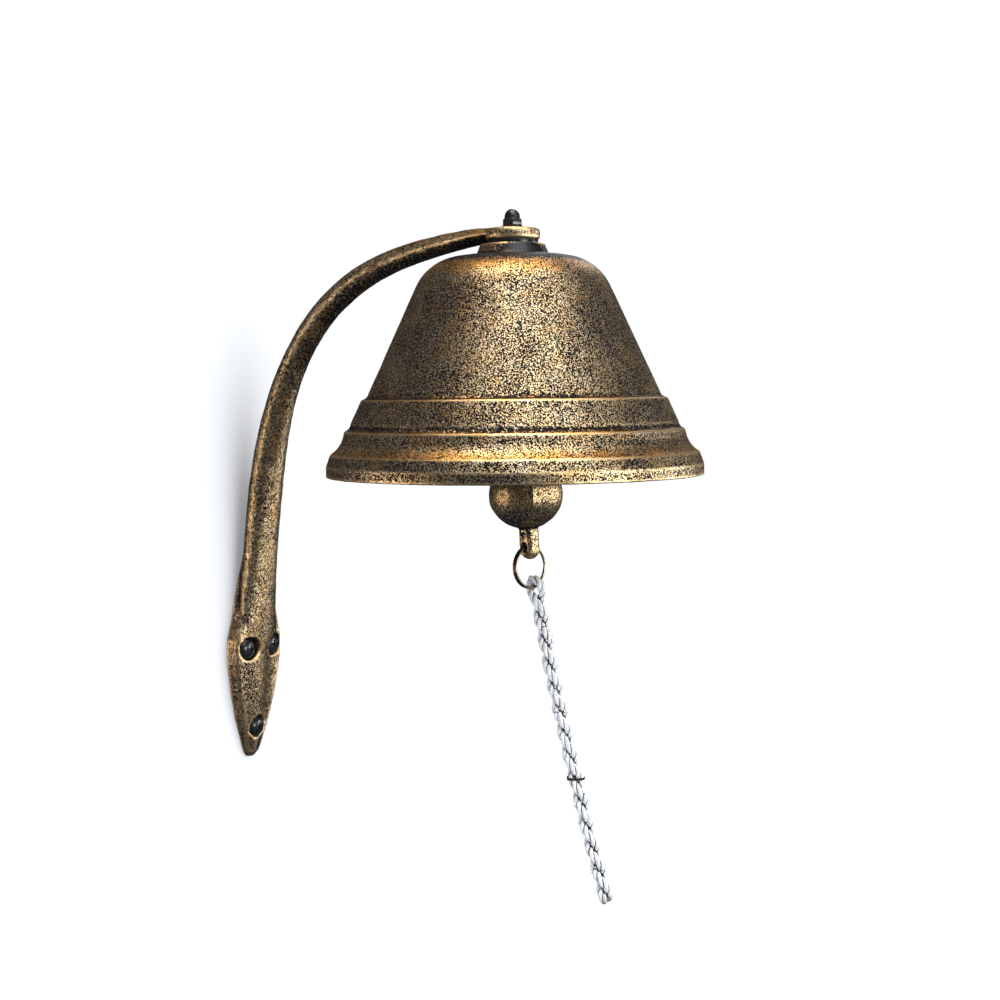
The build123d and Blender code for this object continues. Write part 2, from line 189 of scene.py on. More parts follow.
def joint_place(name):
    """Where a joint is, in millimetres."""
    return np.array(swing[name]["pos_m"], float) / MM


def unit(v):
    return v / np.linalg.norm(v)


def unit_rows(rows):
    return rows / np.linalg.norm(rows, axis=1)[:, None]


# ---- Mesh helpers -----------------------------------------------------------------------
def add_object(name, mesh):
    piece = bpy.data.objects.new(name, mesh)
    bpy.context.scene.collection.objects.link(piece)
    return piece


def mesh_object(name, points, faces, sharp=None):
    """Object from points in millimetres. Edges sharper than sharp degrees stay sharp."""
    mesh = bpy.data.meshes.new(name)
    mesh.from_pydata([tuple(p) for p in np.asarray(points, float) * MM], [], faces)
    mesh.update()
    mesh.shade_smooth()
    if sharp:
        mesh.set_sharp_from_angle(angle=math.radians(sharp))
    return add_object(name, mesh)


def bake(piece, sharp=None):
    """Applies every modifier on the piece."""
    graph = bpy.context.evaluated_depsgraph_get()
    mesh = bpy.data.meshes.new_from_object(piece.evaluated_get(graph))
    piece.modifiers.clear()
    piece.data = mesh
    mesh.materials.clear()
    mesh.shade_smooth()
    if sharp:
        mesh.set_sharp_from_angle(angle=math.radians(sharp))


def points_of(mesh, field="co"):
    values = np.empty(len(mesh.vertices) * 3, np.float32)
    mesh.vertices.foreach_get(field, values)
    return values.reshape(-1, 3).astype(float)


def softened(node, name, voxel, skin=(), rounds=SOFTEN_ROUNDS):
    """Copy of a CAD node with rounded edges and an uneven skin."""
    piece = add_object(name, frame["nodes"][node].data.copy())
    remesh = piece.modifiers.new("soften", "REMESH")
    remesh.mode = "VOXEL"
    remesh.voxel_size = voxel * MM
    smooth = piece.modifiers.new("smooth", "SMOOTH")
    smooth.factor = 0.5
    smooth.iterations = rounds
    for size, height in skin:
        texture = bpy.data.textures.new(name + "_skin", "CLOUDS")
        texture.noise_scale = size * MM
        texture.noise_depth = 1
        push = piece.modifiers.new("skin", "DISPLACE")
        push.texture = texture
        push.texture_coords = "LOCAL"
        push.strength = height * MM
        push.mid_level = 0.5
    bake(piece)
    return piece


def mark_wear(piece, rounds=WEAR_ROUNDS):
    """Stores in 'wear' how proud each vertex stands of its surroundings: 0.5 is flat, 1 an edge."""
    mesh = piece.data
    count = len(mesh.vertices)
    points = points_of(mesh)
    ends = np.empty(len(mesh.edges) * 2, np.int32)
    mesh.edges.foreach_get("vertices", ends)
    a, b = ends[0::2], ends[1::2]
    degree = np.bincount(a, minlength=count) + np.bincount(b, minlength=count)
    around = points.copy()
    for _ in range(rounds):
        for axis in range(3):
            column = around[:, axis]
            total = np.bincount(a, column[b], count) + np.bincount(b, column[a], count)
            around[:, axis] = total / degree
    proud = ((points - around) * points_of(mesh, "normal")).sum(axis=1) / (WEAR_FULL * MM)
    wear = mesh.attributes.new("wear", "FLOAT", "POINT")
    wear.data.foreach_set("value", np.clip(0.5 + 0.5 * proud, 0, 1).astype(np.float32))


def frames_along(points, closed=False):
    """Tangent, side and third direction at each point, turning as little as possible."""
    points = np.asarray(points, float)
    tangents = np.gradient(points, axis=0)
    if closed:
        tangents = np.roll(points, -1, axis=0) - np.roll(points, 1, axis=0)
    tangents = unit_rows(tangents)
    start = np.eye(3)[np.argmin(np.abs(tangents[0]))]
    side = unit(np.cross(tangents[0], start))
    sides = []
    for tangent in tangents:
        side = unit(side - tangent * (side @ tangent))
        sides.append(side)
    sides = np.array(sides)
    return tangents, sides, np.cross(tangents, sides)


def tube_rings(points, radius, sides, closed=False):
    """Rings of vertices round a line, as an array of rings, sides and coordinates."""
    _, side, third = frames_along(points, closed)
    angle = np.linspace(0, 2 * math.pi, sides, endpoint=False)
    radius = np.broadcast_to(radius, len(points))[:, None, None]
    across = side[:, None] * np.cos(angle)[:, None] + third[:, None] * np.sin(angle)[:, None]
    return np.asarray(points, float)[:, None] + across * radius


def ring_faces(rings, sides, first=0, closed=False):
    """Faces of a tube whose vertices start at first, with its two ends capped."""
    faces = []
    for i in range(rings if closed else rings - 1):
        low = first + i * sides
        high = first + (i + 1) % rings * sides
        for k in range(sides):
            n = (k + 1) % sides
            faces.append((low + k, low + n, high + n, high + k))
    if not closed:
        faces.append(tuple(first + k for k in reversed(range(sides))))
        faces.append(tuple(first + (rings - 1) * sides + k for k in range(sides)))
    return faces


def wire(name, points, radius, sides=20, closed=False):
    rings = tube_rings(points, radius, sides, closed)
    return mesh_object(name, rings.reshape(-1, 3), ring_faces(len(rings), sides, closed=closed))


def turned(name, base, axis, rows, sides=64, shape=None, sharp=30):
    """Closed solid turned about an axis through base. Rows are (distance along, radius),
    and shape, if given, changes a radius by its distance along and its angle."""
    axis = unit(np.array(axis, float))
    side = unit(np.cross(axis, (0.3, 0.2, 0.9) if abs(axis[0]) > 0.5 else (1, 0, 0)))
    third = np.cross(axis, side)
    points = []
    for along, radius in rows:
        for k in range(sides):
            angle = 2 * math.pi * k / sides
            r = shape(along, radius, angle) if shape else radius
            outward = side * math.cos(angle) + third * math.sin(angle)
            points.append(base + axis * along + outward * r)
    return mesh_object(name, points, ring_faces(len(rows), sides), sharp)


def bevelled(piece, width, sharp=30):
    bevel = piece.modifiers.new("bevel", "BEVEL")
    bevel.width = width * MM
    bevel.segments = 2
    bevel.limit_method = "ANGLE"
    bevel.angle_limit = math.radians(sharp)
    bake(piece, sharp)


# ---- Materials --------------------------------------------------------------------------
class Paint:
    """A node material. Each call adds a node and returns one of its outputs."""

    def __init__(self, name):
        self.material = bpy.data.materials.new(name)
        self.material.use_nodes = True
        self.tree = self.material.node_tree
        self.surface = self.tree.nodes["Principled BSDF"]

    def feed(self, socket, value):
        if isinstance(value, bpy.types.NodeSocket):
            self.tree.links.new(value, socket)
        else:
            socket.default_value = value

    def add(self, kind, inputs, output=0, **settings):
        node = self.tree.nodes.new("ShaderNode" + kind)
        for key, value in settings.items():
            setattr(node, key, value)
        for key, value in inputs.items():
            self.feed(node.inputs[key], value)
        return node.outputs[output]

    def sum(self, operation, a, b=0.0):
        return self.add("Math", {0: a, 1: b}, operation=operation)

    def blend(self, factor, a, b):
        return self.add("Mix", {0: factor, 6: a, 7: b}, output=2, data_type="RGBA")

    def mix(self, factor, a, b):
        return self.add("Mix", {0: factor, 2: a, 3: b})

    def between(self, value, low, high, to_low=0.0, to_high=1.0):
        spans = {0: value, 1: low, 2: high, 3: to_low, 4: to_high}
        return self.add("MapRange", spans, interpolation_type="SMOOTHSTEP")

    def place(self):
        return self.add("TexCoord", {}, output="Object")

    def noise(self, place, size, detail=2.0, roughness=0.5, distortion=0.0):
        """Noise with features about size millimetres across."""
        inputs = {
            "Vector": place,
            "Scale": 1 / (size * MM),
            "Detail": detail,
            "Roughness": roughness,
            "Distortion": distortion,
        }
        return self.add("TexNoise", inputs)

    def bump(self, height, depth, strength=1.0, normal=None):
        inputs = {"Height": height, "Distance": depth * MM, "Strength": strength}
        if normal is not None:
            inputs["Normal"] = normal
        return self.add("Bump", inputs)

    def finish(self, **inputs):
        for key, value in inputs.items():
            self.feed(self.surface.inputs[key.replace("_", " ")], value)
        return self.material


def colour(r, g, b):
    return (r, g, b, 1.0)


BLACK_PAINT = colour(0.007, 0.007, 0.009)
BROWN_PAINT = colour(0.018, 0.012, 0.008)
PALE_GOLD = colour(0.88, 0.70, 0.44)
DEEP_GOLD = colour(0.78, 0.42, 0.12)
FINE_SIZE = 0.3             # fine grain, in millimetres like the next two
TINT_SIZE = 7.0             # patches of paler and deeper gold
PATCH_SIZE = 17.0           # patches with more and less gold
GRAIN_DEEP = 0.24
FINE_DEEP = 0.08
PAINT_ROUGH, GOLD_ROUGH = 0.36, 0.31
PAINT_SHINE, BARE_SHINE = 0.05, 0.4
BARE_POLISH = 0.2           # how much smoother the bare spot is


def rubbed_gold(
    name, amount, patchiness, grain_size, top_painted_light=0.0, under_painted_shade=0.22, shade_and_gloss_spot=None
):
    """Black paint with a fine wrinkled grain whose raised parts are rubbed with gold. Tops and undersides
    get less gold by the given shares, as painted shade, and faces turned well up get a little more
    gold and a deeper orange gold, as painted highlights. A ball of space given as its middle and
    radius in millimetres gets less gold, as painted shade, and glossier paint."""
    p = Paint(name)
    place = p.place()
    grain = p.noise(place, grain_size, detail=1.0, roughness=0.6, distortion=0.35)
    fine = p.noise(place, FINE_SIZE, detail=1.0)
    patches = p.noise(place, PATCH_SIZE, detail=3.0, roughness=0.6)
    tint = p.noise(place, TINT_SIZE, detail=5.0, roughness=0.7)

    # Edges are rubbed more and recesses less; tops and undersides get less gold, as painted shade, and faces
    # turned well up a little more, as a painted highlight
    wear = p.add("Attribute", {}, output="Fac", attribute_name="wear")
    proud = p.between(wear, 0.5, 1.0, 0.0, 0.3)
    proud = p.sum("SUBTRACT", proud, p.between(wear, 0.42, 0.05, 0.0, 0.34))
    facing = p.add("TexCoord", {}, output="Normal")
    rise = p.add("SeparateXYZ", {"Vector": facing}, output="Z")
    # Painted shade on faces turned up and on faces turned down, and a painted highlight on faces turned well up
    proud = p.sum("SUBTRACT", proud, p.between(rise, 0.80, 0.97, 0.0, top_painted_light))
    proud = p.sum("SUBTRACT", proud, p.between(rise, -0.25, -0.75, 0.0, under_painted_shade))
    proud = p.sum("ADD", proud, p.between(rise, 0.45, 0.62, 0.0, top_painted_light * 0.12))
    shade_and_gloss = 0.0
    # Painted shade round the boss's right side: the gold and the brown are taken off there, and the paint is made
    # glossier
    if shade_and_gloss_spot:
        middle, radius = shade_and_gloss_spot
        middle = tuple(value * MM for value in middle)
        away = p.add("VectorMath", {0: place, 1: middle}, output="Value", operation="DISTANCE")
        shade_and_gloss = p.between(away, radius * MM, radius * MM * 0.7)
        proud = p.sum("SUBTRACT", proud, p.sum("MULTIPLY", shade_and_gloss, 0.5))

    # The grain that stands over the threshold is gold, the rest black or brown paint
    patchy = p.sum("MULTIPLY", p.sum("SUBTRACT", patches, 0.5), patchiness)
    threshold = p.sum("SUBTRACT", p.sum("SUBTRACT", 1.0 - amount, proud), patchy)
    ragged = p.sum("ADD", grain, p.sum("MULTIPLY", p.sum("SUBTRACT", fine, 0.5), 0.18))
    over = p.sum("SUBTRACT", ragged, threshold)
    gold = p.between(over, -0.006, 0.018)
    brown = p.sum("SUBTRACT", p.between(patches, 0.4, 0.65), shade_and_gloss)
    paint = p.blend(brown, BLACK_PAINT, BROWN_PAINT)
    # Painted highlight: faces turned up get a deeper orange gold, on top of the random tint
    shoulder_painted_light = p.between(rise, 0.5, 0.8, 0.0, 0.75)
    tint_and_painted_light = p.sum("ADD", p.between(tint, 0.38, 0.72, 0.0, 0.65), shoulder_painted_light)
    metal = p.blend(tint_and_painted_light, PALE_GOLD, DEEP_GOLD)
    base = p.blend(gold, paint, metal)
    roughness = p.mix(gold, PAINT_ROUGH, GOLD_ROUGH)
    roughness = p.sum("SUBTRACT", roughness, p.sum("MULTIPLY", shade_and_gloss, BARE_POLISH))
    normal = p.bump(grain, GRAIN_DEEP, 0.8)
    normal = p.bump(fine, FINE_DEEP, 0.5, normal)
    return p.finish(
        Base_Color=base,
        Metallic=p.sum("MULTIPLY", gold, 0.95),
        Specular_IOR_Level=p.mix(shade_and_gloss, PAINT_SHINE, BARE_SHINE),
        Roughness=roughness,
        Normal=normal,
    )


def black_oxide(name, shine=0.3):
    """Black finish on steel, thin and a little brighter along the edges."""
    p = Paint(name)
    place = p.place()
    cloud = p.noise(place, 2.2, detail=3.0)
    speck = p.noise(place, 0.25, detail=2.0)
    edge = p.between(p.add("NewGeometry", {}, output="Pointiness"), 0.52, 0.6)
    base = p.blend(cloud, colour(0.008, 0.009, 0.012), colour(0.020, 0.022, 0.028))
    base = p.blend(p.sum("MULTIPLY", edge, 0.12), base, colour(0.10, 0.10, 0.11))
    return p.finish(
        Base_Color=base,
        Metallic=0.35,
        Roughness=p.between(cloud, 0.2, 0.8, shine - 0.08, shine + 0.12),
        Coat_Weight=0.4,
        Coat_Roughness=0.12,
        Normal=p.bump(speck, 0.03, 0.5),
    )


def aged_steel(name):
    """Spring steel wire with a thin brassy tarnish."""
    p = Paint(name)
    place = p.place()
    cloud = p.noise(place, 3.0, detail=4.0, roughness=0.65)
    scratch = p.noise(place, 0.2, detail=2.0)
    base = p.blend(p.between(cloud, 0.35, 0.65), colour(0.42, 0.39, 0.33), colour(0.30, 0.23, 0.13))
    return p.finish(
        Base_Color=base,
        Metallic=1.0,
        Roughness=p.between(cloud, 0.3, 0.7, 0.24, 0.42),
        Normal=p.bump(scratch, 0.02, 0.6),
    )


def cord(name, pale, dark, deep, tip):
    """Spun fibre that follows each strand, pale with dark flecks. It is painted with the deep colour
    as shade in the creases between strands and between the two legs, and is of the tip's colour at
    its singed ends. The UV's u runs round the strand and v along it."""
    p = Paint(name)
    uv = p.add("UVMap", {}, uv_map="strand")
    twist = p.add("Mapping", {"Vector": uv, "Rotation": (0, 0, 0.35), "Scale": (5.0, 0.28, 1.0)})
    fibre = p.add("TexNoise", {"Vector": twist, "Scale": 3.2, "Detail": 3.0, "Roughness": 0.6})
    soft = p.add("TexNoise", {"Vector": uv, "Scale": 0.35, "Detail": 2.0})
    base = p.blend(p.between(fibre, 0.3, 0.62), dark, pale)
    base = p.blend(p.sum("MULTIPLY", p.between(soft, 0.55, 0.75), 0.12), base, dark)
    # Painted shade: the deep colour fills the creases between strands and between the two legs
    crease_shade = p.add("Attribute", {}, output="Fac", attribute_name="crease_shade")
    ragged = p.sum("ADD", crease_shade, p.sum("MULTIPLY", p.sum("SUBTRACT", fibre, 0.5), 0.9))
    base = p.blend(p.between(ragged, 0.36, 0.85), base, deep)
    singe = p.add("Attribute", {}, output="Fac", attribute_name="singe")
    base = p.blend(singe, base, tip)
    return p.finish(
        Base_Color=base,
        Roughness=0.9,
        Sheen_Weight=0.12,
        Sheen_Roughness=0.5,
        Normal=p.bump(fibre, 0.22, 0.9),
    )


# The top and under shares set painted shade on faces turned up and down; the spot paints shade on the boss's right
# side
bell_paint = rubbed_gold(
    "bell_paint", 0.45, patchiness=0.16, grain_size=0.56, top_painted_light=0.3, shade_and_gloss_spot=BOSS_SHADE_AND_GLOSS
)
bracket_paint = rubbed_gold("bracket_paint", 0.45, patchiness=0.2, grain_size=0.5, under_painted_shade=0.12)
clapper_paint = rubbed_gold("clapper_paint", 0.47, patchiness=0.3, grain_size=0.55, under_painted_shade=0.05)
fastener_black = black_oxide("fastener_black", 0.3)
washer_black = black_oxide("washer_black", 0.2)
ring_steel = aged_steel("ring_steel")
rope_white = cord(
    "rope_white",
    pale=colour(0.96, 0.96, 0.95),
    dark=colour(0.50, 0.50, 0.51),
    # deep is the colour of the painted shade in the creases
    deep=colour(0.07, 0.072, 0.08),
    tip=colour(0.20, 0.10, 0.05),
)
thread_black = cord(
    "thread_black",
    pale=colour(0.02, 0.02, 0.022),
    dark=colour(0.006, 0.006, 0.007),
    deep=colour(0.005, 0.005, 0.005),
    tip=colour(0.01, 0.01, 0.01),
)


def settle(piece, body, material, slot, *nodes):
    """Gives a piece its material and body, and hides the CAD nodes it stands for."""
    piece.data.materials.clear()
    piece.data.materials.append(material)
    if body:
        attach(piece, body)
    if nodes:
        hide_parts(*nodes)
    return piece


# ---- Castings ---------------------------------------------------------------------------
def cast(node, name, skin, body, material, slot):
    piece = softened(node, name, *skin)
    mark_wear(piece)
    return settle(piece, body, material, slot, node)


cast("bell", "bell_casting", BELL_SKIN, "bell_on_bracket", bell_paint, "bell_metal")
cast("bracket", "bracket_casting", BRACKET_SKIN, "bell_on_bracket", bracket_paint, "bracket_metal")
clapper = cast("clapper", "clapper_casting", CLAPPER_SKIN, "clapper", clapper_paint, "clapper_metal")


# ---- Fasteners --------------------------------------------------------------------------
def hex_shape(along, radius, angle):
    """Radius of a hexagon's side, or the given radius where that is smaller."""
    turn = (angle + math.pi / 6) % (math.pi / 3) - math.pi / 6
    return min(radius, HEX_ACROSS / 2 / math.cos(turn))


def nut_rows(low, high):
    return [
        (low, POLE_R),
        (low, NUT_FACE_R),
        (low + NUT_CHAMFER, NUT_CORNER_R),
        (high - NUT_CHAMFER, NUT_CORNER_R),
        (high, NUT_FACE_R),
    ]


cap_low, cap_high = [np.array(corner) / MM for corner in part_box("cap_nut")]
cap_base = np.append((cap_low + cap_high)[:2] / 2, cap_low[2])
cap_top = cap_high[2] - cap_low[2]
dome_foot = cap_top - CAP_DOME_R
cap_rows = nut_rows(0, CAP_HEX_HIGH) + [(CAP_HEX_HIGH + 0.02, CAP_DOME_R), (dome_foot, CAP_DOME_R)]
for step in range(1, CAP_DOME_ROWS + 1):
    lift = math.pi / 2 * step / CAP_DOME_ROWS
    radius = max(DOME_POLE_R, CAP_DOME_R * math.cos(lift))
    cap_rows.append((dome_foot + CAP_DOME_R * math.sin(lift), radius))
cap_nut = turned("cap_nut_domed", cap_base, (0, 0, 1), cap_rows, sides=96, shape=hex_shape)
bevelled(cap_nut, CAP_BEVEL)
settle(cap_nut, "bell_on_bracket", fastener_black, "black_fastener", "cap_nut")

nut_low, nut_high = [np.array(corner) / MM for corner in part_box("inner_nut")]
nut_thick = nut_high[2] - nut_low[2]
nut_base = np.array([cap_base[0], cap_base[1], nut_low[2]])
inner_rows = nut_rows(0, nut_thick) + [(nut_thick, POLE_R)]
inner_nut = turned("inner_nut_hex", nut_base, (0, 0, 1), inner_rows, sides=96, shape=hex_shape)
bevelled(inner_nut, NUT_BEVEL)
settle(inner_nut, "bell_on_bracket", fastener_black, "black_fastener", "inner_nut")

for node, voxel in WASHER_VOXELS.items():
    washer = softened(node, node + "_soft", voxel)
    settle(washer, "bell_on_bracket", washer_black, "black_fastener", node)


def thread_shape(pitch, deep, start, end, crest=1.0):
    """Right hand thread cut into the radius between start and end."""
    def shape(along, radius, angle):
        if not min(start, end) < along < max(start, end):
            return radius
        phase = (along / pitch - angle / (2 * math.pi)) % 1.0
        run_out = min(1.0, (along - min(start, end)) / pitch, (max(start, end) - along) / pitch)
        return radius - deep * run_out * min(1.0, abs(2 * phase - 1) * crest, radius)
    return shape


def even_rows(start, end, step, radius):
    count = max(2, int(abs(end - start) / step))
    return [(start + (end - start) * i / count, radius) for i in range(count + 1)]


bolt_low, bolt_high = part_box("eye_bolt")
eye_centre = np.array([cap_base[0], cap_base[1], bolt_low[2] / MM + EYE_R + EYE_WIRE_R])
shank_start = EYE_R - 0.4
shank_end = bolt_high[2] / MM - eye_centre[2]
bolt_rows = even_rows(shank_start, shank_end, BOLT_PITCH / 8, BOLT_R)
bolt = turned(
    "eye_bolt_thread", eye_centre, (0, 0, 1), bolt_rows, sides=40,
    shape=thread_shape(BOLT_PITCH, BOLT_THREAD_DEEP, shank_start + 0.8, shank_end), sharp=None,
)
settle(bolt, "bell_on_bracket", fastener_black, "black_fastener", "eye_bolt")

swing_axis = -np.array(swing["clapper_swing"]["axis"], float)
swing_out = np.cross(swing_axis, (0, 0, 1))
turn = np.linspace(0, 2 * math.pi, 96, endpoint=False)
upright = np.array((0, 0, 1.0))
eye_circle = np.cos(turn)[:, None] * swing_out + np.sin(turn)[:, None] * upright
eye_line = eye_centre + EYE_R * eye_circle
eye = wire("eye_bolt_ring", eye_line, EYE_WIRE_R, sides=24, closed=True)
settle(eye, "bell_on_bracket", fastener_black, "black_fastener", "eye_bolt")


def cross_cutter(name, y, z, top):
    """Tapered cross that cuts a screw's driver recess down from top, facing along X."""
    long, wide = RECESS_LONG / 2, RECESS_WIDE / 2
    outline = [(long, -wide), (long, wide), (wide, wide), (wide, long), (-wide, long), (-wide, wide)]
    outline += [(-a, -b) for a, b in outline]
    points = []
    for x, taper in ((top - RECESS_DEEP, RECESS_TAPER), (top + 1.0, 1.0)):
        points += [(x, y + a * taper, z + b * taper) for a, b in outline]
    return mesh_object(name, points, ring_faces(2, len(outline)))


def wall_screw(name, y, z, seat):
    """Round headed wood screw along X, its head resting on seat."""
    head = [
        (seat + SCREW_HEAD_LIFT, SCREW_NECK_R),
        (seat + SCREW_HEAD_LIFT, SCREW_HEAD_R - SCREW_HEAD_ROUND),
        (seat + SCREW_HEAD_LIFT + SCREW_HEAD_ROUND, SCREW_HEAD_R),
    ]
    head += [(seat + high, radius) for high, radius in SCREW_DOME]
    taper_long = SCREW_THREAD_END - SCREW_TIP
    row_step = SCREW_PITCH / 10
    rows = []
    cone = even_rows(SCREW_TIP + 0.6, SCREW_THREAD_END, row_step, SCREW_R)
    for x, radius in [(SCREW_TIP, SCREW_R)] + cone:
        share = SCREW_POINT + (1 - SCREW_POINT) * (x - SCREW_TIP) / taper_long
        rows.append((x, radius * share))
    rows += even_rows(SCREW_THREAD_END + row_step, SCREW_THREAD_START, row_step, SCREW_R)
    rows += [(SCREW_THREAD_START + 0.01, SCREW_NECK_R)]
    start, end = SCREW_TIP + 0.8, SCREW_THREAD_START
    shape = thread_shape(SCREW_PITCH, SCREW_THREAD_DEEP, start, end, crest=1.8)
    base = np.array((0, y, z))
    screw = turned(name, base, (1, 0, 0), rows + head, sides=48, shape=shape, sharp=40)
    cutter = cross_cutter("cutter", y, z, seat + SCREW_HEAD_HIGH)
    cut = screw.modifiers.new("recess", "BOOLEAN")
    cut.operation = "DIFFERENCE"
    cut.solver = "EXACT"
    cut.object = cutter
    bake(screw, 40)
    bpy.data.objects.remove(cutter)
    return settle(screw, "bell_on_bracket", fastener_black, "black_fastener", "wall_screws")


half_pitch = mounts["upper_screws"]["dims"]["spacing_x_mm"] / 2
lower_z = mounts["lower_screw"]["pos_m"][2] / MM
wall_screw("wall_screw_near", -half_pitch, 0, SCREW_SEATS["upper"])
wall_screw("wall_screw_far", half_pitch, 0, SCREW_SEATS["upper"])
wall_screw("wall_screw_lower", 0, lower_z, SCREW_SEATS["lower"])


# ---- Hanger link ------------------------------------------------------------------------
link_low, link_high = [np.array(corner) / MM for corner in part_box("hanger_link")]
link_middle = (link_low + link_high) / 2
link_straight = (link_high[2] - link_low[2]) / 2 - LINK_R - LINK_WIRE_R
link_line = []
for centre_z, first in ((link_straight, 0), (-link_straight, math.pi)):
    for step in range(LINK_BEND_STEPS + 1):
        angle = first + math.pi * step / LINK_BEND_STEPS
        reach = LINK_R * math.cos(angle)
        rise = centre_z + LINK_R * math.sin(angle)
        link_line.append(link_middle + swing_axis * reach + upright * rise)
link = wire("hanger_link_wire", link_line, LINK_WIRE_R, sides=20, closed=True)
settle(link, "hanger", fastener_black, "black_fastener", "hanger_link")


# ---- Clapper's casting seam ---------------------------------------------------------------
def raise_seam(piece, turn_degrees):
    """Pushes out a thin casting seam down the clapper's ball."""
    mesh = piece.data
    points = points_of(mesh) / MM
    pivot = joint_place("clapper_swing")
    down = unit(joint_place("ring_swing") - pivot)
    ball = pivot + down * BALL_DROP
    seam_turn = math.radians(turn_degrees)
    across = np.array((math.cos(seam_turn), math.sin(seam_turn), 0))
    rel = points - ball
    radial = rel - np.outer(rel @ down, down)
    off = rel @ unit(np.cross(down, across))
    near = np.linalg.norm(rel, axis=1) < BALL_REACH
    push = np.where(near, SEAM_HIGH * np.exp(-(off / SEAM_WIDE) ** 2), 0)
    length = np.linalg.norm(radial, axis=1)
    points += radial / np.maximum(length, 0.5)[:, None] * push[:, None]
    mesh.vertices.foreach_set("co", (points * MM).astype(np.float32).ravel())
    mesh.update()


raise_seam(clapper, SEAM_TURN)


# ---- Split ring -------------------------------------------------------------------------
frame["nodes"]["split_ring"].data.materials.clear()
frame["nodes"]["split_ring"].data.materials.append(ring_steel)


# ---- Rope -------------------------------------------------------------------------------
def even_line(corners, step, rounds):
    """Points every step along straight lengths, with the corners then rounded."""
    points = []
    for a, b in zip(corners, corners[1:]):
        count = max(1, round(np.linalg.norm(b - a) / step))
        points += [a + (b - a) * i / count for i in range(count)]
    points = np.array(points + [corners[-1]])
    for _ in range(rounds):
        points[1:-1] = (points[:-2] + 2 * points[1:-1] + points[2:]) / 4
    return points


def lengths_along(line):
    """How far along the line each of its points is."""
    steps = np.linalg.norm(np.diff(line, axis=0), axis=1)
    return np.concatenate([[0], np.cumsum(steps)])


rope_pivot = joint_place("rope_swing")
bend_names = ["rope_bend_upper", "rope_bend_sideways", "rope_bend_lower"]
rope_bends = [joint_place(joint) for joint in bend_names]
end_low, end_high = [np.array(corner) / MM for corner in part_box("rope_4")]
rope_end = np.array((end_high[0] - ROPE_END_R, end_high[1] - ROPE_END_R, end_low[2] + ROPE_END_R))
rope_tip = rope_end + unit(rope_end - rope_bends[-1]) * ROPE_END_R
rope_line = even_line([rope_pivot, *rope_bends, rope_tip], ROPE_STEP, ROPE_SOFTEN_ROUNDS)
rope_along = lengths_along(rope_line)
rope_length = rope_along[-1]

loop_axis = -np.array(swing["rope_swing"]["axis"], float)
loop_up = unit(np.array((0, 0, 1.0)) - loop_axis * loop_axis[2])
loop_side = np.cross(loop_up, loop_axis)


def pair_turn(along):
    """How far the two legs have turned about each other, this far down the rope."""
    return -2 * math.pi / LAY * (along - LAY_SETTLE * (1 - np.exp(-along / LAY_SETTLE)))


def leg_line(which):
    """Middle line of one leg, from the ring down."""
    tangents = unit_rows(np.gradient(rope_line, axis=0))
    side = unit_rows(loop_side - (tangents @ loop_side)[:, None] * tangents)
    third = np.cross(tangents, side)
    open_share = np.clip(1 - rope_along / LOOP_CLOSE, 0, 1)
    open_share = open_share**2 * (3 - 2 * open_share)
    reach = CORD_R * LEG_PRESS + (LOOP_R - CORD_R * LEG_PRESS) * open_share
    angle = pair_turn(rope_along) + which * math.pi
    outward = np.cos(angle)[:, None] * side + np.sin(angle)[:, None] * third
    return rope_line + reach[:, None] * outward


def doubled_cord():
    """The cord's middle line: up one leg, over the ring and down the other, with the distance
    below the ring at each point."""
    first, second = leg_line(0), leg_line(1)
    arch_count = round(math.pi * LOOP_R / ROPE_STEP)
    arch = []
    for i in range(1, arch_count):
        angle = math.pi * i / arch_count
        arch.append(rope_pivot + LOOP_R * (math.cos(angle) * loop_side + math.sin(angle) * loop_up))
    line = np.concatenate([first[::-1], arch, second])
    below = np.concatenate([rope_along[::-1], np.full(len(arch), -1.0), rope_along])
    for _ in range(LOOP_SOFTEN_ROUNDS):
        line[1:-1] = (line[:-2] + 2 * line[1:-1] + line[2:]) / 4
    return line, below


cord_line, cord_below = doubled_cord()
cord_along = lengths_along(cord_line)
_, cord_side, cord_third = frames_along(cord_line)
rng = np.random.default_rng(7)


def strand_rings(which):
    """All of one strand's vertex rings, from end to end of the cord."""
    angle = 2 * math.pi * (cord_along / STRAND_LAY + which / STRANDS)
    outward = np.cos(angle)[:, None] * cord_side + np.sin(angle)[:, None] * cord_third
    middle = cord_line + STRAND_RING * outward
    count = int(cord_along[-1] // WOBBLE_STEP) + 3
    places = WOBBLE_STEP * np.arange(count)
    wobble = np.interp(cord_along, places, rng.normal(0, STRAND_WOBBLE, count))
    from_end = np.minimum(cord_along, cord_along[-1] - cord_along)
    closing = np.clip(from_end / STRAND_CLOSE, 0.02, 1) ** 0.5
    return tube_rings(middle, STRAND_R * (1 + wobble) * closing, STRAND_SIDES)


strands = [strand_rings(which) for which in range(STRANDS)]


def runs_between(low, high):
    """Index ranges of the cord that lie between two distances below the ring."""
    inside = (cord_below >= low) & (cord_below <= high)
    edges = np.flatnonzero(np.diff(np.concatenate([[0], inside.astype(int), [0]])))
    return [(start, end) for start, end in zip(edges[0::2], edges[1::2]) if end - start > 1]


def fuzz(points, normals, count):
    """Short stray fibres standing off a strand."""
    made = []
    for i in rng.integers(0, len(points), count):
        start = points[i] - normals[i] * 0.1
        lean = unit(normals[i] + rng.normal(0, 0.8, 3))
        curl = rng.normal(0, 0.5, 3)
        length = rng.uniform(FUZZ_SHORT, FUZZ_LONG)
        steps = np.linspace(0, 1, FUZZ_STEPS)[:, None]
        made.append(start + lean * length * steps + curl * steps**2 * length * 0.5)
    return made


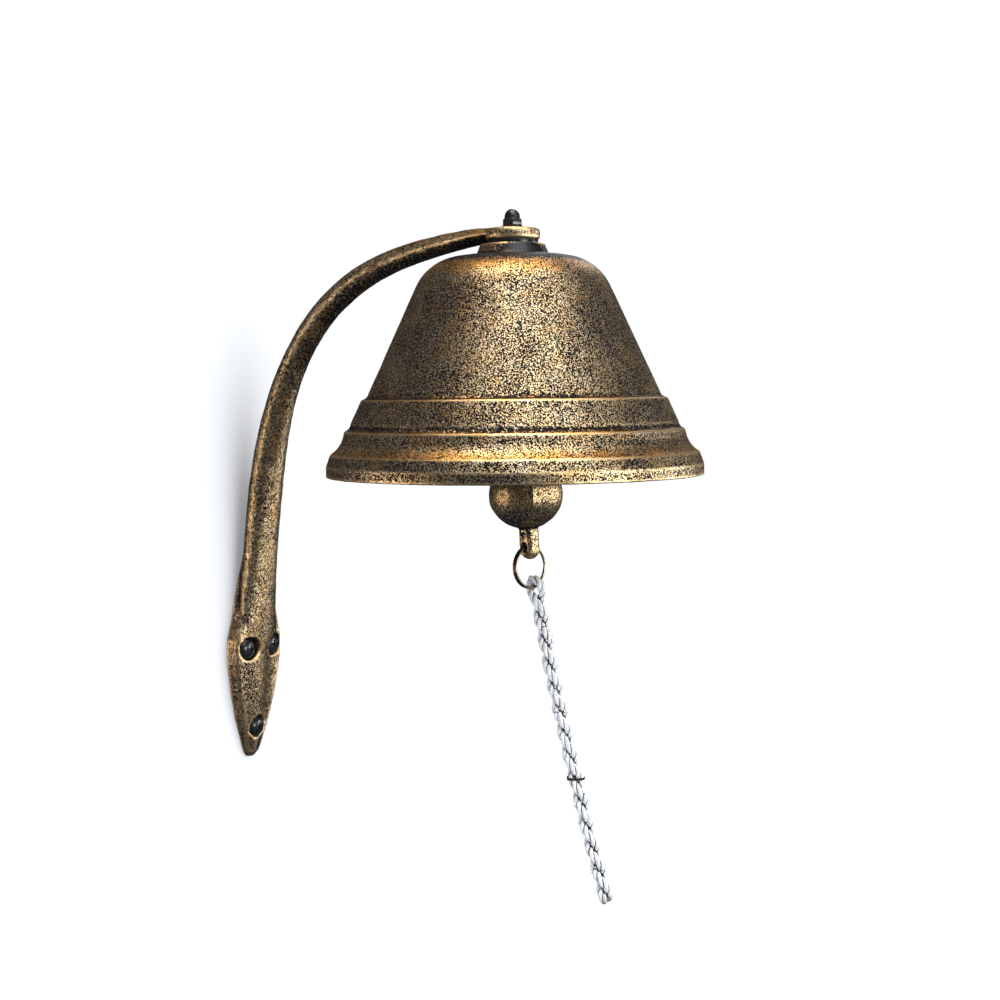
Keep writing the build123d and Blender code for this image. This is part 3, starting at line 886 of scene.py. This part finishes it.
def crease_shade_of(part, start, end):
    """How deep between the strands, or between the two legs, each vertex lies: 0 out, 1 in.
    This sets the painted shade in those creases.
    """
    from_cord = np.linalg.norm(part - cord_line[start:end, None], axis=2)
    between_strands = np.clip((STRAND_OUT - from_cord) / STRAND_CREASE, 0, 1)
    below = cord_below[start:end]
    middle = np.array([np.interp(below, rope_along, rope_line[:, axis]) for axis in range(3)]).T
    from_rope = np.linalg.norm(part - middle[:, None], axis=2)
    between_legs = np.clip((LEG_OUT - from_rope) / LEG_CREASE, 0, 1)
    between_legs *= np.clip(below / LOOP_CLOSE, 0, 1)[:, None]
    return np.maximum(between_strands, between_legs)


def rope_piece(name, low, high, fuzz_count):
    """The part of the rope between two distances below the ring."""
    points, faces, uvs, singe, crease_shade = [], [], [], [], []
    for rings in strands:
        for start, end in runs_between(low, high):
            part = rings[start:end]
            first = len(points)
            points += list(part.reshape(-1, 3))
            faces += ring_faces(len(part), STRAND_SIDES, first)
            for i in range(start, end):
                v = cord_along[i]
                uvs += [(k / STRAND_SIDES, v) for k in range(STRAND_SIDES)]
                end_gap = min(v, cord_along[-1] - v)
                singe += [max(0.0, 1 - end_gap / SINGE_LONG) * SINGE] * STRAND_SIDES
            crease_shade += list(crease_shade_of(part, start, end).ravel())
            middles = part.mean(axis=1)
            outward = unit_rows(part[:, 0] - middles)
            for hair in fuzz(part[:, 0], outward, fuzz_count):
                first = len(points)
                hair_rings = tube_rings(hair, FUZZ_R, FUZZ_SIDES)
                added = FUZZ_SIDES * len(hair)
                points += list(hair_rings.reshape(-1, 3))
                faces += ring_faces(len(hair), FUZZ_SIDES, first)
                uvs += [(0.0, 0.0)] * added
                singe += [0.0] * added
                crease_shade += [0.0] * added
    piece = mesh_object(name, points, faces)
    layer = piece.data.uv_layers.new(name="strand")
    for loop in piece.data.loops:
        layer.data[loop.index].uv = uvs[loop.vertex_index]
    for mark_name, values in (("singe", singe), ("crease_shade", crease_shade)):
        mark = piece.data.attributes.new(mark_name, "FLOAT", "POINT")
        mark.data.foreach_set("value", np.array(values, np.float32))
    return piece


def rope_at(along):
    """Point on the rope's middle line, this far below the ring."""
    return np.array([np.interp(along, rope_along, rope_line[:, axis]) for axis in range(3)])


joint_alongs = []
for bend in rope_bends:
    nearest = np.argmin(np.linalg.norm(rope_line - bend, axis=1))
    joint_alongs.append(rope_along[nearest])
cuts = [joint_alongs[0] / 2]
cuts += [(a + b) / 2 for a, b in zip(joint_alongs, joint_alongs[1:])]
cuts += [(joint_alongs[-1] + rope_length) / 2]
loop = rope_piece("rope_loop", -2.0, cuts[0], FUZZ_LOOP)
settle(loop, "rope_top", rope_white, "rope_cord", "rope_1")
for i, along in enumerate(joint_alongs):
    length = rope_piece(f"rope_length_{i + 1}", cuts[i], cuts[i + 1], FUZZ_LENGTH)
    settle(length, None, rope_white, "rope_cord", f"rope_{i + 2}")
    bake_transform(length)
tail = rope_piece("rope_tail", cuts[-1], rope_length + 1, FUZZ_TAIL)
settle(tail, "rope_end", rope_white, "rope_cord", "rope_4")


def whipping():
    """Black thread wound round the two legs."""
    centre = rope_at(WHIPPING_PLACE)
    tangent = np.array((0, 0, -1.0))
    side = unit(loop_side - tangent * (loop_side @ tangent))
    third = np.cross(tangent, side)
    angle = pair_turn(np.array(WHIPPING_PLACE))
    long_way = math.cos(angle) * side + math.sin(angle) * third
    short_way = np.cross(tangent, long_way)
    grip = CORD_R + WHIPPING_THREAD_R
    line = []
    for step in range(WHIPPING_TURNS * WHIPPING_STEPS + 1):
        turns = step / WHIPPING_STEPS
        a = 2 * math.pi * turns
        rise = (turns - WHIPPING_TURNS / 2) * WHIPPING_THREAD_R * WHIPPING_SPACING
        straight = CORD_R * WHIPPING_PINCH * max(-1.0, min(1.0, 3 * math.cos(a)))
        across = long_way * (straight + grip * math.cos(a)) + short_way * grip * math.sin(a)
        line.append(centre + tangent * rise + across)
    piece = wire("rope_whipping_thread", line, WHIPPING_THREAD_R, sides=WHIPPING_SIDES)
    layer = piece.data.uv_layers.new(name="strand")
    for loop in piece.data.loops:
        ring, side_number = divmod(loop.vertex_index, WHIPPING_SIDES)
        layer.data[loop.index].uv = (side_number / WHIPPING_SIDES, ring * 0.4)
    return piece


settle(whipping(), "rope_lower", thread_black, "black_thread", "rope_whipping")


# ---- Stage ------------------------------------------------------------------------------
def studio_white():
    """Evenly lit pale surface that only the camera sees, and only from its front. Its glow is painted
    with a soft shadow where something stands close to it."""
    material = bpy.data.materials.new("studio_white")
    material.use_nodes = True
    tree = material.node_tree
    tree.nodes.clear()
    output = tree.nodes.new("ShaderNodeOutputMaterial")
    clear = tree.nodes.new("ShaderNodeBsdfTransparent")
    glow = tree.nodes.new("ShaderNodeEmission")
    glow.inputs["Color"].default_value = colour(0.94, 0.96, 1.0)
    # Painted shadow: the glow dims where something stands close to the surface
    near = tree.nodes.new("ShaderNodeAmbientOcclusion")
    near.samples = SHADE_SAMPLES
    near.inputs["Distance"].default_value = WALL_SHADE_REACH
    shade = tree.nodes.new("ShaderNodeMapRange")
    shade.inputs["From Min"].default_value = OPEN_LOW
    shade.inputs["From Max"].default_value = OPEN_HIGH
    shade.inputs["To Min"].default_value = WALL_SHADE
    shade.inputs["To Max"].default_value = WALL_GLOW
    ray = tree.nodes.new("ShaderNodeLightPath")
    facing = tree.nodes.new("ShaderNodeNewGeometry")
    front = tree.nodes.new("ShaderNodeMath")
    front.operation = "SUBTRACT"
    front.use_clamp = True
    pick = tree.nodes.new("ShaderNodeMixShader")
    tree.links.new(near.outputs["AO"], shade.inputs["Value"])
    tree.links.new(shade.outputs[0], glow.inputs["Strength"])
    tree.links.new(ray.outputs["Is Camera Ray"], front.inputs[0])
    tree.links.new(facing.outputs["Backfacing"], front.inputs[1])
    tree.links.new(front.outputs[0], pick.inputs[0])
    tree.links.new(clear.outputs[0], pick.inputs[1])
    tree.links.new(glow.outputs[0], pick.inputs[2])
    tree.links.new(pick.outputs[0], output.inputs[0])
    return material


def stage_sheet(name, corners, material):
    mesh = bpy.data.meshes.new(name)
    mesh.from_pydata(corners, [], [(0, 1, 2, 3)])
    sheet = add_object(name, mesh)
    mesh.materials.append(material)


white = studio_white()
low, high = -STAGE_WIDE, STAGE_WIDE
stage_sheet("wall", [(0, low, low), (0, high, low), (0, high, high), (0, low, high)], white)
near_x, far_x = FLOOR_GAP * WALL_SHADE_REACH, 2 * STAGE_WIDE
floor_corners = [(near_x, low), (far_x, low), (far_x, high), (near_x, high)]
stage_sheet("floor", [(x, y, FLOOR_Z) for x, y in floor_corners], white)


def studio_world():
    """White to the camera, and a weak even light to everything else."""
    world = bpy.data.worlds.new("studio")
    bpy.context.scene.world = world
    world.use_nodes = True
    tree = world.node_tree
    tree.nodes.clear()
    output = tree.nodes.new("ShaderNodeOutputWorld")
    seen = tree.nodes.new("ShaderNodeBackground")
    seen.inputs["Color"].default_value = colour(1, 1, 1)
    light = tree.nodes.new("ShaderNodeBackground")
    light.inputs["Color"].default_value = colour(0.80, 0.88, 1.0)
    ray = tree.nodes.new("ShaderNodeLightPath")
    level = tree.nodes.new("ShaderNodeMapRange")
    level.inputs["To Min"].default_value = AMBIENT
    level.inputs["To Max"].default_value = AMBIENT_GLOSS
    tree.links.new(ray.outputs["Is Glossy Ray"], level.inputs["Value"])
    tree.links.new(level.outputs[0], light.inputs["Strength"])
    pick = tree.nodes.new("ShaderNodeMixShader")
    tree.links.new(ray.outputs["Is Camera Ray"], pick.inputs[0])
    tree.links.new(light.outputs[0], pick.inputs[1])
    tree.links.new(seen.outputs[0], pick.inputs[2])
    tree.links.new(pick.outputs[0], output.inputs[0])


studio_world()


# ---- Lights and camera ------------------------------------------------------------------
bell_middle = Vector((cap_base[0], cap_base[1], LIGHTS_AIM_Z)) * MM
for name, azimuth, elevation, distance, width, height, watts, tone in LIGHTS:
    data = bpy.data.lights.new(name, "AREA")
    data.shape = "ELLIPSE"
    data.size = width
    data.size_y = height
    data.energy = watts
    data.color = tone
    lamp = bpy.data.objects.new(name, data)
    a, e = math.radians(azimuth), math.radians(elevation)
    out = Vector((math.sin(a) * math.cos(e), -math.cos(a) * math.cos(e), math.sin(e)))
    lamp.location = bell_middle + out * distance
    lamp.rotation_mode = "QUATERNION"
    lamp.rotation_quaternion = (-out).to_track_quat("-Z", "Y")
    lamp.visible_camera = False
    bpy.context.scene.collection.objects.link(lamp)

camera_data = bpy.data.cameras.new("camera")
camera_data.lens = CAMERA_LENS
camera_data.sensor_width = CAMERA_SENSOR
camera_data.shift_x, camera_data.shift_y = CAMERA_SHIFT
camera = bpy.data.objects.new("camera", camera_data)
a, roll = math.radians(CAMERA_AZIMUTH), math.radians(CAMERA_ROLL)
level_right = Vector((math.cos(a), math.sin(a), 0))
right = level_right * math.cos(roll) - Vector((0, 0, 1)) * math.sin(roll)
back = Vector((math.sin(a), -math.cos(a), 0))
up = back.cross(right)
turned_camera = Matrix((right, up, back)).transposed().to_4x4()
camera.matrix_world = Matrix.Translation(Vector(CAMERA_AT) * MM) @ turned_camera
bpy.context.scene.collection.objects.link(camera)
bpy.context.scene.camera = camera
bpy.context.scene.view_settings.view_transform = "Standard"
